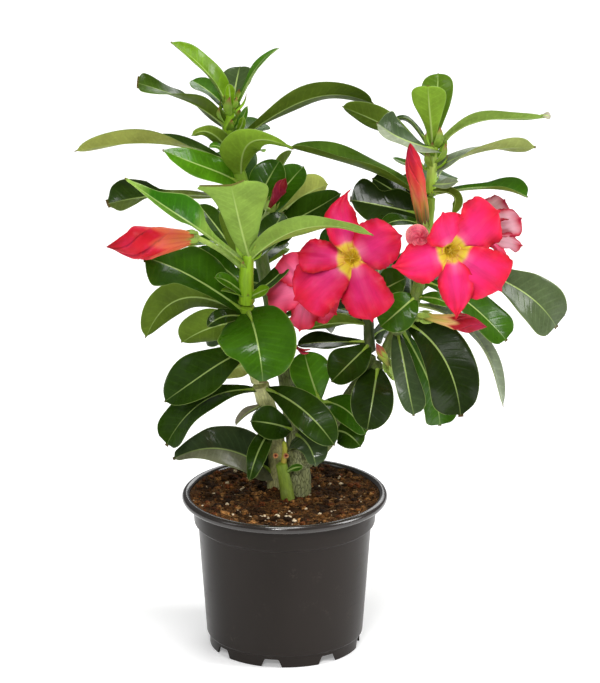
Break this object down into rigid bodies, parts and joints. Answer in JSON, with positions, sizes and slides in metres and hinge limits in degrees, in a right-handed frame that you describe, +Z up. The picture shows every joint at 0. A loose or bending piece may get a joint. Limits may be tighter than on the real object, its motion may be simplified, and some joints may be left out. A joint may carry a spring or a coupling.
{
  "type": "potted flowering desert rose",
  "caption": "Leafy desert rose plant with forked stems, open pink blooms and furled buds, growing from soil in a round plastic nursery pot.",
  "frame": {"origin": "centre of the pot's underside, on the plane that it stands on", "axes": "+Z up along the pot's axis, -Y towards the viewer of the plant's front, +X to that viewer's right"},
  "size_m": [0.3096, 0.1837, 0.3894],
  "materials": {
    "pot_plastic": "dark warm grey, satin",
    "potting_soil": "crumbly brown peat with fibres and perlite",
    "bark": "grey-green, finely cracked",
    "mature_leaf": "dark green and glossy, paler under",
    "young_leaf": "light green, satin",
    "petal": "pink with red margins and a yellow throat",
    "bud_petal": "red, twisted",
    "calyx": "yellow-green, satin"
  },
  "bodies": {
    "root": {"pot": "pot_plastic", "soil": "potting_soil", "trunk_front": "bark", "trunk_back": "bark", "cut_stub": "bark", "shoot_front": "mature_leaf", "shoot_front_tip": "young_leaf", "shoot_left": "mature_leaf", "shoot_left_tip": "young_leaf", "shoot_middle": "mature_leaf", "shoot_side": "mature_leaf", "shoot_right": "mature_leaf", "shoot_right_tip": "young_leaf", "leaf_low_1": "mature_leaf", "leaf_low_2": "mature_leaf", "leaf_low_3": "mature_leaf", "leaf_low_4": "mature_leaf", "leaf_low_5": "mature_leaf", "leaf_low_6": "mature_leaf", "leaf_low_7": "mature_leaf", "leaf_low_8": "mature_leaf", "leaf_low_9": "mature_leaf", "leaf_low_10": "mature_leaf", "leaf_low_11": "mature_leaf", "bloom_1_corolla": "petal", "bloom_1_stalk": "calyx", "bloom_2_corolla": "petal", "bloom_2_stalk": "calyx", "bloom_3_corolla": "petal", "bloom_3_stalk": "calyx", "bloom_4_corolla": "petal", "bloom_4_stalk": "calyx", "bud_1_corolla": "bud_petal", "bud_1_stalk": "calyx", "bud_2_corolla": "bud_petal", "bud_2_stalk": "calyx", "bud_3_corolla": "bud_petal", "bud_3_stalk": "calyx", "bud_4_corolla": "bud_petal", "bud_4_stalk": "calyx", "bud_5_corolla": "bud_petal", "bud_5_stalk": "calyx", "bud_6_corolla": "bud_petal", "bud_6_stalk": "calyx"}
  },
  "joints": []
}
